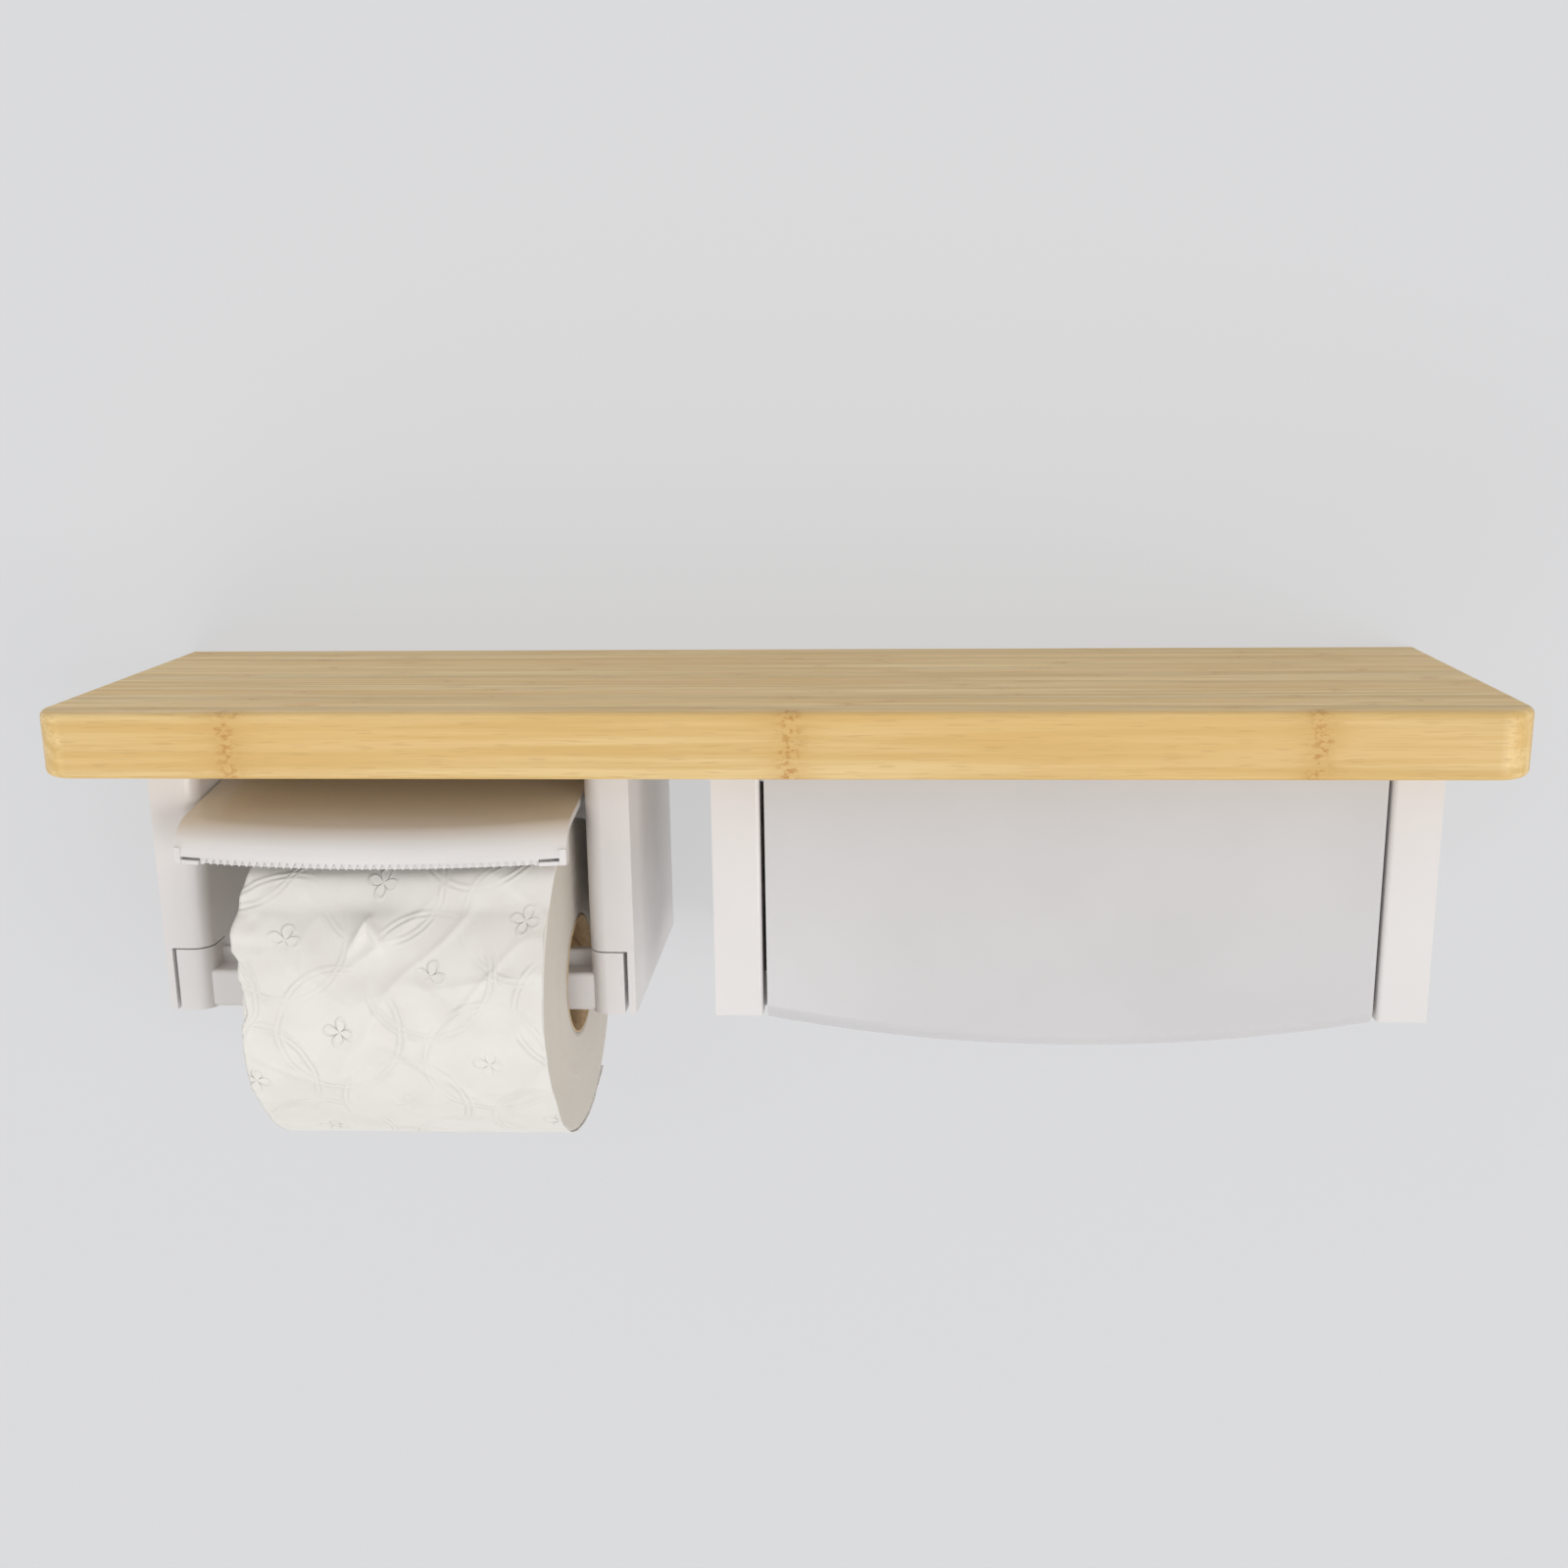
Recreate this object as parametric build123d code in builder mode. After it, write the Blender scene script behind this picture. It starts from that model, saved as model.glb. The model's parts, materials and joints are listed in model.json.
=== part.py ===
"""Toilet roll holder with shelf, hung on a wall.

Frame: +X to the right seen from the room, -Y out of the wall, +Z up. The origin lies on the wall
plane, in the middle of the row of wall screws. Millimetres throughout.
"""
import os
from math import acos, cos, degrees, radians, sin, sqrt

from build123d import *

os.makedirs("parts", exist_ok=True)

# Shelf board
shelf_width = 480.0
shelf_depth = 130.0
shelf_thick = 22.0
shelf_under = 26.0          # underside of the board above the wall screws
shelf_corner = 13.0         # front corners in plan
shelf_edge = 2.4            # rounding of the long edges
pilot_depth = 13.0          # blind holes for the screws from below
screw_inset = 16.0          # from the inner side walls
screw_rear = -12.0
screw_front = -36.0
screw_far = -62.0

# Both housings under the board
house_height = 91.0
house_depth = 100.0
house_bottom = shelf_under - house_height
front = -house_depth
wall = 2.5                  # moulded wall thickness
edge_round = 1.0

# Steel wall brackets
sheet = 1.5
plate_lift = 5.0            # lower edge of the back plate above the housing's bottom
plate_reach = 11.0          # how far the back plate runs in behind each side shell
plate_corner = 3.0
holder_top_deep = 45.0      # top flange of the roll holder's bracket
store_top_deep = 76.0       # top flange of the storage box's bracket
flange_tall = 40.0
flange_deep = 36.0
flange_mid_z = -28.0
flange_screws = [(-12.0, flange_mid_z), (-28.0, flange_mid_z)]
wall_hole = 2.5
outer_hole_x = 184.0
inner_hole_x = 78.0

# Roll holder on the left
bay_centre = -132.0
bay_width = 135.0
arm_thick = 16.0
arm_round = 6.0
bay_left = bay_centre - bay_width / 2
bay_right = bay_centre + bay_width / 2
arm_left = bay_left - arm_thick
mirror_holder = Plane.YZ.offset(bay_centre)

# Storage box on the right
box_left = -20.5
box_right = 221.2
cheek_thick = 16.5
cheek_round = 1.6
store_left = box_left + cheek_thick
store_right = box_right - cheek_thick
mirror_box = Plane.YZ.offset((box_left + box_right) / 2)

# Paper roll
roll_y = -86.0
roll_z = -55.5
roll_radius = 56.0
roll_width = 100.0
roll_centre_x = -120.5
core_outer = 21.0
core_inner = 20.0
roll_round = 1.0

# Roll cover
cover_pin = (-30.0, 16.0)   # y and z of the hinge
cover_gap = 1.5             # to each arm
cover_wall = 2.5
cover_rear = -22.0
cover_rear_z = 22.0         # height of the top face at the rear edge
cover_slope = 8.0           # degrees, down to the front
cover_end_y = -123.0        # front edge at both ends
cover_mid_y = -132.0        # front edge in the middle
cover_curl = 12.0           # radius that turns the top down into the front
cover_lip_z = -1.6
cover_stop_z = 24.3         # stop rib under the bracket's flange
ear_radius = 4.6
ear_thick = 5.0

# Groove under the front of the cover, and the tear blade in it
lip_outer = 1.6
groove_width = 1.35
lip_inner = 1.75
lip_inner_z = -4.1
slot_low = -2.8             # lower side of the open slot at each end of the blade
foot_inset = 0.3            # lip under that slot
slot_end = 2.2              # wall that closes it
slot_spare = 0.3            # beside the blade
foot_bite = 0.5             # how far the added lip runs into the rail
lip_rail_top = 4.0
groove_top = 0.8
blade_thick = 1.25
blade_width = 114.0
blade_top = 0.6
blade_tip_z = -4.1
tooth_pitch = 2.7
tooth_height = 2.1
tooth_spare = 0.1           # cutter beyond the blade's tip
notch_long = 12.0

# Reach of the cutting forms beyond the cover
groove_back = lip_outer + groove_width
rail_start = 0.5            # inset at which the rail's stock begins
side_spare = 3.0
trim_reach = 5.0
band_rear = -100.0
cut_low = -30.0
cut_tall = 60.0
cut_deep = 25.0

# Folding pegs
pocket_left = arm_left + wall
peg_gap = 1.4               # groove beside the block
peg_top = -42.6
peg_line = 0.5              # parting line above the block
peg_boss = 16.0             # height of the block that holds the pin above the pocket
pocket_roof = peg_top + peg_line
pocket_back = -42.0
peg_x = arm_left + 9.5
peg_y = front + 8.0
peg_back = 6.8              # radius of the block's rear round its pivot
peg_pin_r = 2.0
peg_pin_head = 1.5
head_pocket = 2.0           # room for the pin's head under the block
peg_reach = 40.0            # tongue beyond the arm
tongue_front = front + 2.5
tongue_top = -51.0
tongue_round = 2.0          # lower edges
tongue_brow = 1.5           # upper front edge
rib_thick = 4.0
rib_top = -45.0
hook_top = roll_z + 18.8
hook_long = 5.5
hook_ramp = 13.0
hook_round = 1.8
hook_sink = 1.0             # how far the hook runs down into the rib
spring_recess = 7.0
spring_room = 1.0           # between the coil's middle line and the recess wall
spring_mean_r = 3.1
spring_wire_r = 0.4
spring_pitch = 1.2
spring_turns = 4
spring_leg = 3.0
spring_leg_r = 0.42
spring_bite = 0.25          # offset of each straight leg into the coil's end

# Storage flap, tray and buffers
flap_pin = (-94.5, 19.0)
flap_gap = 1.5
flap_top = 23.4
flap_wall = 2.5
flap_deep = 7.5
flap_hang = 2.2             # ends of the lower edge below the cheeks
flap_drop = 9.5             # middle of the lower edge below its ends
flap_lip = 6.5              # curl of the lower edge
flap_brow = 2.0             # upper front edge
flap_ear = 4.4
flap_ear_thick = 4.0
tray_back = -2.0
tray_front = -90.0
tray_tall = 13.0
tray_screws_yz = [(-20.0, -58.0), (-72.0, -58.0)]
buffer_r = 4.0
buffer_z = -57.5
buffer_inset = 26.0
buffer_round = 1.2
buffer_gap = 0.2            # to the closed flap

# Pins and screws
pin_r = 2.0
pin_bury = 7.5              # pin inside an arm or cheek
pin_short = 0.5             # pin ends inside the ear
pin_chamfer = 0.3
boss_r = 4.5
running = 0.05
shank_r = 1.8
shank_free = 0.3
head_r = 3.8
head_thick = 2.2
head_round = 1.2
recess_wide = 0.9
recess_long = 4.4
recess_deep = 1.1
side_screw_grip = 2.5       # length beyond the two sheets it joins


def finish(builder, label):
    builder.part.label = label
    export_step(builder.part, f"parts/{label}.step")


def make_screw(length):
    """Pan-head screw with a cross recess, its head below the origin and its shank upwards."""
    with BuildPart() as screw:
        with BuildSketch(Plane.XY.offset(-head_thick)):
            Circle(head_r)
        extrude(amount=head_thick)
        fillet(screw.edges().sort_by(Axis.Z)[0], head_round)
        with BuildSketch(Plane.XY):
            Circle(shank_r)
        extrude(amount=length)
        chamfer(screw.edges().sort_by(Axis.Z)[-1], head_round)
        with BuildSketch(Plane.XY.offset(-head_thick)):
            Rectangle(recess_long, recess_wide)
            Rectangle(recess_wide, recess_long)
        extrude(amount=recess_deep, mode=Mode.SUBTRACT)
    return screw.part


# Bamboo board, with blind holes below for the screws that carry the housings
holder_screws = [
    (x, y) for x in (bay_left + screw_inset, bay_right - screw_inset) for y in (screw_rear, screw_front)]
store_screws = [
    (x, y) for x in (store_left + screw_inset, store_right - screw_inset) for y in (screw_rear, screw_far)]

with BuildPart() as shelf_board:
    with BuildSketch(Plane.XY.offset(shelf_under)) as outline:
        with Locations((0, -shelf_depth / 2)):
            Rectangle(shelf_width, shelf_depth)
        fillet(outline.vertices().group_by(Axis.Y)[0], shelf_corner)
    extrude(amount=shelf_thick)
    rims = shelf_board.faces().filter_by(Axis.Z).edges()
    fillet([rim for rim in rims if rim.center().Y < -1.0], shelf_edge)
    with BuildSketch(Plane.XY.offset(shelf_under)):
        with Locations(*holder_screws, *store_screws):
            Circle(shank_r)
    extrude(amount=pilot_depth, mode=Mode.SUBTRACT)
finish(shelf_board, "shelf_board")


# Pressed steel brackets: back plate, top flange under the board, side flanges inside the shells
def make_bracket(left, right, top_deep, holes, top_holes):
    middle = (left + right) / 2
    with BuildPart() as bracket:
        with BuildSketch(Plane.XZ) as plate:
            with Locations((middle, (shelf_under + house_bottom + plate_lift) / 2)):
                Rectangle(right - left + 2 * plate_reach, house_height - plate_lift)
            fillet(plate.vertices().group_by(Axis.Y)[0], plate_corner)
        extrude(amount=sheet)
        with BuildSketch(Plane.XY.offset(shelf_under - sheet)):
            with Locations((middle, -top_deep / 2)):
                Rectangle(right - left, top_deep)
            with Locations(*top_holes):
                Circle(shank_r + shank_free, mode=Mode.SUBTRACT)
        extrude(amount=sheet)
        for seat, way in ((left - wall, -1), (right + wall, 1)):
            with BuildSketch(Plane.YZ.offset(seat)):
                with Locations((-flange_deep / 2, flange_mid_z)):
                    Rectangle(flange_deep, flange_tall)
                with Locations(*flange_screws):
                    Circle(shank_r, mode=Mode.SUBTRACT)
            extrude(amount=way * sheet)
        with BuildSketch(Plane.XZ):
            with Locations(*[(x, 0) for x in holes]):
                Circle(wall_hole)
        extrude(amount=sheet, mode=Mode.SUBTRACT)
    return bracket


holder_bracket = make_bracket(
    bay_left, bay_right, holder_top_deep, (-outer_hole_x, -inner_hole_x), holder_screws)
finish(holder_bracket, "holder_bracket")
storage_bracket = make_bracket(
    store_left, store_right, store_top_deep, (inner_hole_x, outer_hole_x), store_screws)
finish(storage_bracket, "storage_bracket")


# Hollow side shells, open towards the wall: the left one of each housing, the right is its mirror
def make_shell(outer, thick, rounding, hinge):
    inner = outer + thick
    with BuildPart() as shell:
        with BuildSketch(Plane.XY.offset(house_bottom)) as plan:
            with Locations((outer + thick / 2, front / 2)):
                Rectangle(thick, house_depth)
            corners = plan.vertices().group_by(Axis.Y)[0].sort_by(Axis.X)
            fillet(corners[-1], rounding)
            fillet(corners[0], edge_round)
        extrude(amount=house_height)
        with BuildSketch(Plane.XY.offset(house_bottom + wall)) as hollow:
            with Locations((outer + thick / 2, (front + wall) / 2)):
                Rectangle(thick - 2 * wall, house_depth - wall)
            inner_corner = hollow.vertices().group_by(Axis.Y)[0].sort_by(Axis.X)[-1]
            fillet(inner_corner, max(rounding - wall, 0.5))
        extrude(amount=house_height - 2 * wall, mode=Mode.SUBTRACT)
        # Boss for the hinge pin
        with BuildSketch(Plane.YZ.offset(inner - pin_bury)):
            with Locations(hinge):
                Circle(boss_r)
        extrude(amount=pin_bury)
        with BuildSketch(Plane.YZ.offset(inner - pin_bury)):
            with Locations(hinge):
                Circle(pin_r)
        extrude(amount=pin_bury, mode=Mode.SUBTRACT)
        # Notch for the bracket's plate, and free holes for the screws into its flange
        with BuildSketch(Plane.XY.offset(house_bottom + plate_lift)):
            with Locations((inner - plate_reach / 2, -sheet / 2)):
                Rectangle(plate_reach, sheet)
        extrude(amount=house_height - plate_lift, mode=Mode.SUBTRACT)
        with BuildSketch(Plane.YZ.offset(inner - wall)):
            with Locations(*flange_screws):
                Circle(shank_r + shank_free)
        extrude(amount=wall, mode=Mode.SUBTRACT)
    return shell.part


arm_blank = make_shell(arm_left, arm_thick, arm_round, cover_pin)
arm_mid_x = arm_left + arm_thick / 2
hollow_width = arm_thick - 2 * wall
pocket_deep = pocket_back - front

with BuildPart() as left_arm:
    add(arm_blank)
    # Roof, pin boss and rear wall of the pocket that the peg folds into
    with BuildSketch(Plane.XY.offset(pocket_roof)):
        with Locations((arm_mid_x, (front + wall + pocket_back + wall) / 2)):
            Rectangle(hollow_width, pocket_deep)
    extrude(amount=wall)
    with BuildSketch(Plane.XY.offset(pocket_roof)):
        with Locations((arm_mid_x, peg_y)):
            Rectangle(hollow_width, 2 * boss_r)
    extrude(amount=peg_boss)
    with BuildSketch(Plane.XY.offset(house_bottom)):
        with Locations((arm_mid_x, pocket_back + wall / 2)):
            Rectangle(hollow_width, wall)
    extrude(amount=pocket_roof - house_bottom)
    with BuildSketch(Plane.XY.offset(house_bottom)):
        with Locations(((pocket_left + bay_left) / 2, (front + pocket_back) / 2)):
            Rectangle(bay_left - pocket_left, pocket_deep)
    extrude(amount=pocket_roof - house_bottom, mode=Mode.SUBTRACT)
    with BuildSketch(Plane.XY.offset(pocket_roof)):
        with Locations((peg_x, peg_y)):
            Circle(peg_pin_r)
    extrude(amount=peg_boss - wall, mode=Mode.SUBTRACT)
    with BuildSketch(Plane.XY.offset(pocket_roof)):
        with Locations((peg_x + spring_mean_r, peg_y - spring_bite)):
            Circle(spring_leg_r + running)
    extrude(amount=spring_leg, mode=Mode.SUBTRACT)
finish(left_arm, "left_arm")

with BuildPart() as right_arm:
    mirror(left_arm.part, about=mirror_holder)
finish(right_arm, "right_arm")

cheek_blank = make_shell(box_left, cheek_thick, cheek_round, flap_pin)

with BuildPart() as left_cheek:
    add(cheek_blank)
    with BuildSketch(Plane.YZ.offset(store_left - wall)):
        with Locations(*tray_screws_yz):
            Circle(shank_r)
    extrude(amount=wall, mode=Mode.SUBTRACT)
finish(left_cheek, "left_cheek")

with BuildPart() as right_cheek:
    mirror(left_cheek.part, about=mirror_box)
finish(right_cheek, "right_cheek")


# Pivoting peg: a block flush with the arm, and a tongue that reaches into the roll's core
block_left = pocket_left + peg_gap
block_rear = peg_y + peg_back
left_reach = peg_x - block_left
arc_start = degrees(acos(-left_reach / peg_back))
arc_y = peg_y + sqrt(peg_back ** 2 - left_reach ** 2)
tongue_end = bay_left + peg_reach
hook_start = tongue_end - hook_long

# Hook at the end of the tongue's rib: the core hangs on its rounded top
hook_foot = rib_top - hook_sink
with BuildPart() as hook_form:
    with BuildSketch(Plane.XZ.offset(-block_rear)) as hook:
        with BuildLine():
            Polyline(
                (hook_start - hook_ramp, hook_foot), (hook_start, hook_top),
                (tongue_end, hook_top), (tongue_end, hook_foot), close=True)
        make_face()
        fillet(hook.vertices().group_by(Axis.Y)[-1], hook_round)
    extrude(amount=rib_thick)
    with BuildSketch(Plane.YZ.offset(tongue_end)) as crown:
        with Locations((block_rear - rib_thick / 2, (hook_foot + hook_top) / 2)):
            Rectangle(rib_thick, hook_top - hook_foot)
        fillet(crown.vertices().group_by(Axis.Y)[-1], hook_round)
    extrude(amount=-(hook_long + hook_ramp), mode=Mode.INTERSECT)

with BuildPart() as left_peg:
    with BuildSketch(Plane.XY.offset(house_bottom)) as block:
        with BuildLine():
            Line((block_left, front), (block_left, arc_y))
            CenterArc((peg_x, peg_y), peg_back, arc_start, 90 - arc_start)
            Line((peg_x, block_rear), (bay_left, block_rear))
            Line((bay_left, block_rear), (bay_left, front))
            Line((bay_left, front), (block_left, front))
        make_face()
        fillet(block.vertices().group_by(Axis.Y)[0].sort_by(Axis.X)[-1], arm_round)
    extrude(amount=peg_top - house_bottom)
    with BuildSketch(Plane.YZ.offset(bay_left - 2 * wall)) as bar:
        with BuildLine():
            Polyline(
                (tongue_front, house_bottom), (tongue_front, tongue_top),
                (block_rear - rib_thick, tongue_top), (block_rear - rib_thick, rib_top),
                (block_rear, rib_top), (block_rear, house_bottom), close=True)
        make_face()
        fillet(bar.vertices().group_by(Axis.Y)[0], tongue_round)
        fillet(bar.vertices().group_by(Axis.Y)[-1], edge_round)
        fillet(bar.vertices().group_by(Axis.X)[0].sort_by(Axis.Y)[-1], tongue_brow)
    extrude(amount=tongue_end - bay_left + 2 * wall)
    add(hook_form.part)
    # Bearing, room for the pin's head below, and for the spring above
    with BuildSketch(Plane.XY.offset(house_bottom)):
        with Locations((peg_x, peg_y)):
            Circle(peg_pin_r + running)
    extrude(amount=peg_top - house_bottom, mode=Mode.SUBTRACT)
    with BuildSketch(Plane.XY.offset(house_bottom)):
        with Locations((peg_x, peg_y)):
            Circle(head_r + shank_free)
    extrude(amount=head_pocket, mode=Mode.SUBTRACT)
    with BuildSketch(Plane.XY.offset(peg_top - spring_recess)):
        with Locations((peg_x, peg_y)):
            Circle(spring_mean_r + spring_room)
    extrude(amount=spring_recess, mode=Mode.SUBTRACT)
    with BuildSketch(Plane.XY.offset(peg_top - spring_recess - spring_leg)):
        with Locations((peg_x + spring_mean_r, peg_y + spring_bite)):
            Circle(spring_leg_r + running)
    extrude(amount=spring_leg, mode=Mode.SUBTRACT)
finish(left_peg, "left_peg")

with BuildPart() as right_peg:
    mirror(left_peg.part, about=mirror_holder)
finish(right_peg, "right_peg")

with BuildPart() as left_peg_pin:
    with BuildSketch(Plane.XY.offset(house_bottom + head_pocket - peg_pin_head)):
        with Locations((peg_x, peg_y)):
            Circle(head_r)
    extrude(amount=peg_pin_head - running)
    with BuildSketch(Plane.XY.offset(house_bottom + head_pocket - running)):
        with Locations((peg_x, peg_y)):
            Circle(peg_pin_r)
    extrude(amount=pocket_roof + peg_boss - wall - house_bottom - head_pocket)
with BuildPart() as peg_pins:
    add(left_peg_pin.part)
    mirror(left_peg_pin.part, about=mirror_holder)
finish(peg_pins, "peg_pins")

# Torsion spring round each pin, one leg down into the block and one up into the arm
coil_height = spring_turns * spring_pitch
coil_z = peg_top - spring_recess + (spring_recess - coil_height) / 2
with BuildPart() as left_peg_spring:
    with BuildLine() as coil:
        Helix(spring_pitch, coil_height, spring_mean_r, center=(peg_x, peg_y, coil_z))
    with BuildSketch(Plane(origin=coil.line @ 0, z_dir=coil.line % 0)):
        Circle(spring_wire_r)
    sweep()
    for level, way in ((coil_z, -1), (coil_z + coil_height, 1)):
        with BuildSketch(Plane.XY.offset(level)):
            with Locations((peg_x + spring_mean_r, peg_y - way * spring_bite)):
                Circle(spring_leg_r)
        extrude(amount=way * spring_leg)
finish(left_peg_spring, "left_peg_spring")

with BuildPart() as right_peg_spring:
    mirror(left_peg_spring.part, about=mirror_holder)
finish(right_peg_spring, "right_peg_spring")


# Roll cover: a bent plate with ears for its pins, a stop rib and a grooved rail under its front
cover_left = bay_left + cover_gap
cover_right = bay_right - cover_gap
half_chord = (cover_right - cover_left) / 2
arc_rise = cover_end_y - cover_mid_y
front_radius = (half_chord ** 2 + arc_rise ** 2) / (2 * arc_rise)
front_centre_y = cover_mid_y + front_radius


def cover_plan(inset, spare, deepest):
    """Plan of the cover with its front arc moved back by inset and its sides spared outwards."""
    radius = front_radius - inset
    half = half_chord + spare
    end_y = front_centre_y - sqrt(radius ** 2 - half ** 2)
    with BuildSketch() as plan:
        with BuildLine():
            left_end = (bay_centre - half, end_y)
            right_end = (bay_centre + half, end_y)
            ThreePointArc(left_end, (bay_centre, front_centre_y - radius), right_end)
            Line(right_end, (bay_centre + half, deepest))
            Line((bay_centre + half, deepest), (bay_centre - half, deepest))
            Line((bay_centre - half, deepest), left_end)
        make_face()
    return plan.sketch


def cover_form(inset, spare):
    """Solid under the bent top face, set inwards by inset."""
    tilt = radians(cover_slope)
    rise = inset / cos(tilt)
    slope = Plane(origin=(0, cover_rear, cover_rear_z - rise), z_dir=(0, -sin(tilt), cos(tilt)))
    with BuildPart() as form:
        with BuildSketch(Plane.XY.offset(cut_low)):
            add(cover_plan(inset, spare, cover_rear + spare))
        extrude(amount=cut_tall)
        split(bisect_by=slope, keep=Keep.BOTTOM)
        brow = form.faces().sort_by(Axis.Z)[-1].edges().sort_by(Axis.Y)[0]
        fillet(brow, cover_curl - inset)
    return form.part


def front_band(inset_from, inset_to, spare, low, high):
    """Strip that follows the front arc, between two insets and two heights."""
    with BuildPart() as band:
        with BuildSketch(Plane.XY.offset(low)):
            add(cover_plan(inset_from, spare, band_rear))
            add(cover_plan(inset_to, spare + 1.0, band_rear + 1.0), mode=Mode.SUBTRACT)
        extrude(amount=high - low)
    return band.part


def end_pieces(strip, reach):
    """What a front strip leaves beyond a reach to each side of the middle."""
    with BuildPart() as ends:
        add(strip)
        with Locations((bay_centre, cover_mid_y, 0.0)):
            Box(2 * reach, cut_deep, cut_tall, mode=Mode.SUBTRACT)
    return ends.part


outer_form = cover_form(0.0, 0.0)
inner_form = cover_form(cover_wall, side_spare)
rail = front_band(rail_start, groove_back + lip_inner, side_spare, cut_low, lip_rail_top)
trim = front_band(-trim_reach, groove_back, side_spare, cut_low, cover_lip_z)
groove = front_band(lip_outer, groove_back, side_spare, cut_low, groove_top)

# Closed ends of the groove: a lip under an open slot, and a wall beside it
foot = front_band(foot_inset, groove_back + foot_bite, 0.0, lip_inner_z, slot_low)
post = front_band(0.0, groove_back + foot_bite, 0.0, lip_inner_z, groove_top + foot_bite)

with BuildPart() as cavity:
    add(inner_form)
    add(rail, mode=Mode.SUBTRACT)

with BuildPart() as roll_cover:
    add(outer_form)
    add(cavity.part, mode=Mode.SUBTRACT)
    add(trim, mode=Mode.SUBTRACT)
    add(groove, mode=Mode.SUBTRACT)
    split(bisect_by=Plane.XY.offset(lip_inner_z), keep=Keep.TOP)
    add(end_pieces(foot, blade_width / 2 + slot_spare))
    add(end_pieces(post, half_chord - slot_end))
    with BuildSketch(Plane.XY.offset(cover_rear_z - cover_wall)):
        with Locations((bay_centre, cover_rear - cover_wall / 2)):
            Rectangle(2 * half_chord - 2 * ear_thick, cover_wall)
    extrude(amount=cover_stop_z - cover_rear_z + cover_wall)
    for side in (cover_left, cover_right - ear_thick):
        with BuildSketch(Plane.YZ.offset(side)):
            with Locations(cover_pin):
                Circle(ear_radius)
        extrude(amount=ear_thick)
        with BuildSketch(Plane.YZ.offset(side)):
            with Locations(cover_pin):
                Circle(pin_r + running)
        extrude(amount=ear_thick, mode=Mode.SUBTRACT)
finish(roll_cover, "roll_cover")

# Serrated tear blade, curved like the groove
tooth_angle = degrees(tooth_pitch / front_radius)
tooth_count = int(blade_width / tooth_pitch)
blade_start = -90 - tooth_angle * (tooth_count - 1) / 2
blade_inset = lip_outer + (groove_width - blade_thick) / 2
with BuildPart() as notch:
    with BuildSketch(Plane.YZ.offset(-notch_long / 2)):
        with BuildLine():
            Polyline(
                (-tooth_pitch / 2, blade_tip_z - tooth_spare), (tooth_pitch / 2, blade_tip_z - tooth_spare),
                (0.0, blade_tip_z + tooth_height), close=True)
        make_face()
    extrude(amount=notch_long)
with BuildPart() as tear_blade:
    add(front_band(blade_inset, blade_inset + blade_thick, side_spare, blade_tip_z, blade_top))
    with BuildSketch(Plane.XY.offset(blade_tip_z)):
        with Locations((bay_centre, cover_mid_y)):
            Rectangle(blade_width, blade_width)
    extrude(amount=blade_top - blade_tip_z, mode=Mode.INTERSECT)
    with Locations((bay_centre, front_centre_y)):
        with PolarLocations(front_radius, tooth_count, blade_start, tooth_angle * tooth_count):
            add(notch.part, mode=Mode.SUBTRACT)
finish(tear_blade, "tear_blade")


# Hinge pins of the cover and of the flap: one is made, its partner is mirrored
def make_pins(inner, hinge, gap, grip, about):
    with BuildPart() as one:
        with BuildSketch(Plane.YZ.offset(inner - pin_bury)):
            with Locations(hinge):
                Circle(pin_r)
        extrude(amount=pin_bury + gap + grip)
        chamfer(one.edges().filter_by(GeomType.CIRCLE), pin_chamfer)
    with BuildPart() as both:
        add(one.part)
        mirror(one.part, about=about)
    return both


cover_pins = make_pins(bay_left, cover_pin, cover_gap, ear_thick - pin_short, mirror_holder)
finish(cover_pins, "cover_pins")
flap_pins = make_pins(store_left, flap_pin, flap_gap, flap_ear_thick - pin_short, mirror_box)
finish(flap_pins, "flap_pins")


# Paper on its cardboard core
def make_ring(outer, inner):
    with BuildPart() as ring:
        with BuildSketch(Plane.YZ.offset(roll_centre_x - roll_width / 2)):
            with Locations((roll_y, roll_z)):
                Circle(outer)
                Circle(inner, mode=Mode.SUBTRACT)
        extrude(amount=roll_width)
    return ring


with BuildPart() as paper_roll:
    add(make_ring(roll_radius, core_outer).part)
    rims = paper_roll.edges().filter_by(GeomType.CIRCLE)
    fillet([rim for rim in rims if rim.radius > core_outer + 1], roll_round)
finish(paper_roll, "paper_roll")
cardboard_core = make_ring(core_outer, core_inner)
finish(cardboard_core, "cardboard_core")


# Storage flap: a shallow shell whose lower edge is an arc that curls inwards
flap_left = store_left + flap_gap
flap_right = store_right - flap_gap
flap_middle = (flap_left + flap_right) / 2


def flap_form(inset, top, from_y, depth, lip):
    low = house_bottom - flap_hang + inset
    with BuildPart() as form:
        with BuildSketch(Plane.XZ.offset(-from_y)):
            with BuildLine():
                ThreePointArc(
                    (flap_left + inset, low), (flap_middle, low - flap_drop), (flap_right - inset, low))
                Line((flap_right - inset, low), (flap_right - inset, top))
                Line((flap_right - inset, top), (flap_left + inset, top))
                Line((flap_left + inset, top), (flap_left + inset, low))
            make_face()
        extrude(amount=depth)
        face = form.faces().sort_by(Axis.Y)[0]
        fillet(face.edges().sort_by(Axis.Z)[0], lip)
    return form.part


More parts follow.
